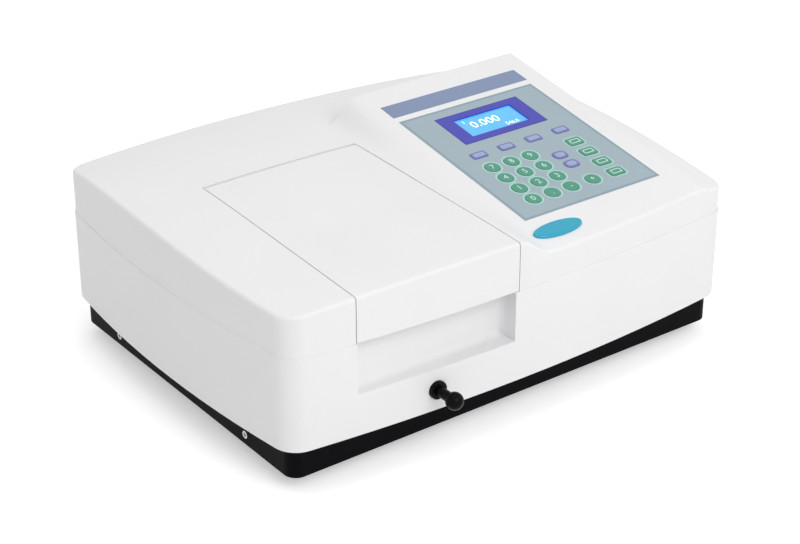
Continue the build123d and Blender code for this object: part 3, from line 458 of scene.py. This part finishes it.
def buildRingTree():
    tree = bpy.data.node_groups.new("printedRing", "GeometryNodeTree")
    tree.interface.new_socket("Geometry", in_out="INPUT", socket_type="NodeSocketGeometry")
    sizes = (("Width", 0.015), ("Height", 0.009), ("Corner", 0.002), ("Band", 0.001), ("Tilt", 0.0))
    for label, value in sizes:
        tree.interface.new_socket(label, in_out="INPUT", socket_type="NodeSocketFloat").default_value = value
    tree.interface.new_socket("Ink", in_out="INPUT", socket_type="NodeSocketMaterial")
    tree.interface.new_socket("Geometry", in_out="OUTPUT", socket_type="NodeSocketGeometry")
    start = tree.nodes.new("NodeGroupInput")
    end = tree.nodes.new("NodeGroupOutput")

    def minus(value, amount, times):
        less = tree.nodes.new("ShaderNodeMath")
        less.operation = "MULTIPLY_ADD"
        less.inputs[1].default_value = -times
        tree.links.new(amount, less.inputs[0])
        tree.links.new(value, less.inputs[2])
        return less.outputs[0]

    def roundedLoop(width, height, corner):
        loop = tree.nodes.new("GeometryNodeCurvePrimitiveQuadrilateral")
        tree.links.new(width, loop.inputs["Width"])
        tree.links.new(height, loop.inputs["Height"])
        soft = tree.nodes.new("GeometryNodeFilletCurve")
        soft.mode = "POLY"
        soft.inputs["Count"].default_value = 8
        soft.inputs["Limit Radius"].default_value = True
        tree.links.new(loop.outputs[0], soft.inputs["Curve"])
        tree.links.new(corner, soft.inputs["Radius"])
        return soft.outputs[0]

    outer = roundedLoop(start.outputs["Width"], start.outputs["Height"], start.outputs["Corner"])
    inner = roundedLoop(
        minus(start.outputs["Width"], start.outputs["Band"], 2),
        minus(start.outputs["Height"], start.outputs["Band"], 2),
        minus(start.outputs["Corner"], start.outputs["Band"], 1),
    )
    join = tree.nodes.new("GeometryNodeJoinGeometry")
    tree.links.new(outer, join.inputs[0])
    tree.links.new(inner, join.inputs[0])
    fill = tree.nodes.new("GeometryNodeFillCurve")
    fill.mode = "NGONS"
    tree.links.new(join.outputs[0], fill.inputs["Curve"])
    turn = tree.nodes.new("ShaderNodeCombineXYZ")
    tree.links.new(start.outputs["Tilt"], turn.inputs["X"])
    lay = tree.nodes.new("GeometryNodeInstanceOnPoints")
    tree.links.new(start.outputs["Geometry"], lay.inputs["Points"])
    tree.links.new(fill.outputs[0], lay.inputs["Instance"])
    tree.links.new(turn.outputs[0], lay.inputs["Rotation"])
    real = tree.nodes.new("GeometryNodeRealizeInstances")
    tree.links.new(lay.outputs[0], real.inputs[0])
    ink = tree.nodes.new("GeometryNodeSetMaterial")
    tree.links.new(real.outputs[0], ink.inputs["Geometry"])
    tree.links.new(start.outputs["Ink"], ink.inputs["Material"])
    tree.links.new(ink.outputs[0], end.inputs[0])
    return tree


ringTree = buildRingTree()


def grow(name, points, tree, values):
    # runs a tree on loose points and keeps the plain mesh
    mesh = bpy.data.meshes.new(name + "Points")
    mesh.from_pydata([tuple(p) for p in points], [], [])
    seed = link(name + "Seed", mesh)
    work = seed.modifiers.new("tree", "NODES")
    work.node_group = tree
    for item in tree.interface.items_tree:
        if item.item_type == "SOCKET" and item.in_out == "INPUT" and item.name in values:
            work[item.identifier] = values[item.name]
    ready = seed.evaluated_get(bpy.context.evaluated_depsgraph_get())
    result = bpy.data.meshes.new_from_object(ready)
    bpy.data.objects.remove(seed)
    return link(name, result)


mintInk = plainInk("mintInk", (0.36, 0.60, 0.55), (0.42, 0.68, 0.62), 0.4)
violetInk = plainInk("violetInk", (0.13, 0.13, 0.42), (0.18, 0.17, 0.50), 0.35)
paleInk = plainInk("paleInk", (0.62, 0.78, 0.76), (0.72, 0.86, 0.84), 0.4)
greyInk = plainInk("greyInk", (0.30, 0.38, 0.55), (0.36, 0.45, 0.62), 0.4)
edgeInk = plainInk("edgeInk", (0.22, 0.31, 0.38), (0.27, 0.37, 0.44), 0.4)

inkLift = {"edge": 0.00003, "ring": 0.00004, "digit": 0.00005}  # how far each print stands off its face

ringSizes = {
    "roundHalo": {
        "places": roundPlaces, "Width": 0.0176, "Height": 0.0176, "Corner": 0.0088, "Band": 0.0019,
        "Ink": mintInk,
    },
    "commandHalo": {
        "places": commandPlaces, "Width": 0.0190, "Height": 0.0146, "Corner": 0.0045,
        "Band": 0.0016, "Ink": mintInk,
    },
}
for name, sizes in ringSizes.items():
    points = [onConsole(u, v, console["panelTop"] + inkLift["ring"]) for u, v in sizes["places"].values()]
    halo = grow(name, points, ringTree, {**sizes, "Tilt": consoleTilt})
    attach(halo, "root")

panelEdge = {"Width": 0.1426, "Height": 0.1682, "Corner": 0.0004, "Band": 0.0022}
edgePlace = onConsole(0, 0, console["panelTop"] + inkLift["edge"])
edge = grow("panelEdge", [edgePlace], ringTree, {**panelEdge, "Ink": edgeInk, "Tilt": consoleTilt})
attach(edge, "root")

faceRings = {
    "key_function": {
        "places": functionPlaces, "Width": 0.0110, "Height": 0.0050, "Corner": 0.0012,
        "Band": 0.0024, "Ink": greyInk,
    },
    "key_arrow": {
        "places": arrowPlaces, "Width": 0.0092, "Height": 0.0062, "Corner": 0.0030, "Band": 0.0030,
        "Ink": greyInk,
    },
    "key_command": {
        "places": commandPlaces, "Width": 0.0100, "Height": 0.0056, "Corner": 0.0014,
        "Band": 0.0009, "Ink": paleInk,
    },
}
for name, sizes in faceRings.items():
    for key, (u, v) in sizes["places"].items():
        place = onConsole(u, v, console["keyTop"] + inkLift["ring"])
        face = grow(key + "Print", [place], ringTree, {**sizes, "Tilt": consoleTilt})
        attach(face, key + "_body")


# numbers on the round keys, and a plain reading on the display

def flatText(name, words, size, place, ink, body):
    data = bpy.data.curves.new(name + "Curve", "FONT")
    data.body = words
    data.size = size
    data.align_x = "CENTER"
    data.align_y = "CENTER"
    data.resolution_u = 3
    data.extrude = 0.00002
    text = link(name + "Text", data)
    ready = text.evaluated_get(bpy.context.evaluated_depsgraph_get())
    mesh = bpy.data.meshes.new_from_object(ready)
    bpy.data.objects.remove(text)
    mesh.transform(place)
    piece = link(name, mesh)
    mesh.materials.clear()
    mesh.materials.append(ink)
    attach(piece, body)
    return piece


digits = {
    "11": "7", "12": "8", "13": "9", "21": "4", "22": "5", "23": "6", "31": "1", "32": "2",
    "33": "3", "41": "0", "42": ".", "43": "-", "44": "+",
}
digitSize = 0.0085
for place, digit in digits.items():
    key = "key_round_" + place
    u, v = roundPlaces[key]
    spot = onConsoleMatrix(u, v, console["keyTop"] + inkLift["digit"])
    flatText(key + "Digit", digit, digitSize, spot, paleInk, key + "_body")


def litInk(name, colour, strength):
    mat, tree, bsdf, vector = startMaterial(name, 0.3)
    node = useGroup(tree, mouldGrain, vector, {"Grain Scale": 1500.0, "Tone Scale": 60.0})
    tint = blendColours(tree, node.outputs["Tone"], colour, (1, 1, 1))
    tree.links.new(tint, bsdf.inputs["Base Color"])
    tree.links.new(tint, bsdf.inputs["Emission Color"])
    bsdf.inputs["Emission Strength"].default_value = strength
    return mat


readingInk = litInk("readingInk", (0.75, 0.95, 1.0), 0.7)
readings = {
    "big": ("0.000", 0.0135, -0.004, 0.0525), "small": ("546.0", 0.0062, 0.017, 0.0415),
    "index": ("1", 0.0062, -0.022, 0.0595),
}
displayFace = -0.00074  # just above the display, below the panel
for label, (words, size, u, v) in readings.items():
    place = onConsoleMatrix(u, v, displayFace)
    flatText("reading_" + label, words, size, place, readingInk, "root")
print("console dressed")


# back: marks on the rocker and plated blades in the inlet

rockerMarks = {"size": 0.0045, "x": 0.055, "lift": 0.00003, "places": {"I": 0.0708, "O": 0.0812}}


def faceMatrix(node, x, z, lift):
    # place on the node's own surface, seen from behind
    hit, spot, normal, index = nodes[node].ray_cast(Vector((x, 1, z)), Vector((0, -1, 0)))
    across = Vector((-1, 0, 0))
    axes = Matrix((across, normal.cross(across), normal)).transposed().to_4x4()
    return Matrix.Translation(spot + normal * lift) @ axes


for words, z in rockerMarks["places"].items():
    place = faceMatrix("power_rocker", rockerMarks["x"], z, rockerMarks["lift"])
    flatText("rockerMark" + words, words, rockerMarks["size"], place, paleInk, "rocker")

bladeFinish = {
    "low": (0.56, 0.56, 0.58), "high": (0.72, 0.72, 0.74), "roughness": 0.22, "scale": 900.0,
    "stretch": (1.0, 0.05, 1.0), "bump": 0.05,
}
platedBrass = brushedMetal("platedBrass", **bladeFinish)
inletBlades = {
    "middle": (0.089, 0.165143, 0.076), "offsets": [(-0.007, -0.001), (0, 0.003), (0.007, -0.001)],
    "size": (0.0022, 0.00915, 0.0044), "edge": 0.0004,
}


def addBlade(name, centre, size, edge):
    shape = bmesh.new()
    bmesh.ops.create_cube(shape, size=1)
    bmesh.ops.scale(shape, vec=size, verts=shape.verts)
    bmesh.ops.bevel(shape, geom=list(shape.edges), offset=edge, segments=2, affect="EDGES")
    bmesh.ops.translate(shape, vec=centre, verts=shape.verts)
    mesh = bpy.data.meshes.new(name)
    shape.to_mesh(mesh)
    shape.free()
    mesh.materials.append(platedBrass)
    blade = link(name, mesh)
    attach(blade, "root")


for index, (across, rise) in enumerate(inletBlades["offsets"]):
    x, y, z = inletBlades["middle"]
    addBlade(f"inletBlade{index + 1}", (x + across, y, z + rise), inletBlades["size"], inletBlades["edge"])
print("back dressed")


# inside: chamber, carriage, optics, lamps and boards

anodisedFinish = {
    "low": (0.012, 0.012, 0.013), "high": (0.024, 0.024, 0.026), "roughness": 0.55,
    "grain": 1400.0, "bump": 0.2,
}
blackAnodised = mouldedPlastic("blackAnodised", **anodisedFinish)
dress(["sample_chamber", "cuvette_carriage", "detector_block", "filter_wheel"], blackAnodised)

steelFinish = {
    "low": (0.50, 0.50, 0.52), "high": (0.66, 0.66, 0.68), "roughness": 0.28, "scale": 500.0,
    "stretch": (1.0, 0.05, 1.0), "bump": 0.1,
}
turnedSteel = brushedMetal("turnedSteel", **steelFinish)
dress(["guide_rods", "pull_rod", "hinge_brackets", "hinge_pins", "side_screws"], turnedSteel)

zincFinish = {
    "low": (0.48, 0.49, 0.51), "high": (0.62, 0.63, 0.66), "roughness": 0.42, "scale": 160.0,
    "stretch": (0.3, 1.0, 1.0), "bump": 0.08,
}
zincSheet = brushedMetal("zincSheet", **zincFinish)
dress(["power_supply", "lamp_house"], zincSheet)

canFinish = {
    "low": (0.10, 0.10, 0.11), "high": (0.19, 0.19, 0.20), "roughness": 0.4, "scale": 300.0,
    "stretch": (1.0, 1.0, 0.05), "bump": 0.1,
}
motorCan = brushedMetal("motorCan", **canFinish)
dress(["stepper_motors"], motorCan)

castFinish = {
    "low": (0.38, 0.38, 0.39), "high": (0.52, 0.52, 0.53), "roughness": 0.5, "scale": 700.0,
    "metallic": 1.0,
}
castAlloy = castMetal("castAlloy", **castFinish)
dress(["optics_housing", "grating_table"], castAlloy)

mirrorFinish = {
    "low": (0.78, 0.80, 0.83), "high": (0.86, 0.88, 0.90), "roughness": 0.09, "scale": 60.0,
    "stretch": (1.0, 1.0, 1.0), "bump": 0.01,
}
mirrorGlass = brushedMetal("mirrorGlass", **mirrorFinish)
dress(["optics_mirrors", "source_mirror"], mirrorGlass)

boardFinish = {
    "low": (0.015, 0.12, 0.05), "high": (0.03, 0.19, 0.08), "roughness": 0.35, "grain": 500.0,
    "bump": 0.15,
}
boardGreen = mouldedPlastic("boardGreen", **boardFinish)
dress(["keypad_board", "main_board"], boardGreen)


def lampGlass(name, tint, roughness):
    mat, tree, bsdf, vector = startMaterial(name, roughness)
    node = useGroup(tree, mouldGrain, vector, {"Grain Scale": 200.0, "Tone Scale": 20.0})
    tree.links.new(blendColours(tree, node.outputs["Tone"], tint, (1, 1, 1)), bsdf.inputs["Base Color"])
    bsdf.inputs["Transmission Weight"].default_value = 0.85
    bsdf.inputs["IOR"].default_value = 1.46
    return mat


lampFinish = {"tint": (0.90, 0.93, 0.95), "roughness": 0.06}
dress(["tungsten_lamp", "deuterium_lamp"], lampGlass("lampGlass", **lampFinish))
print("inside dressed")
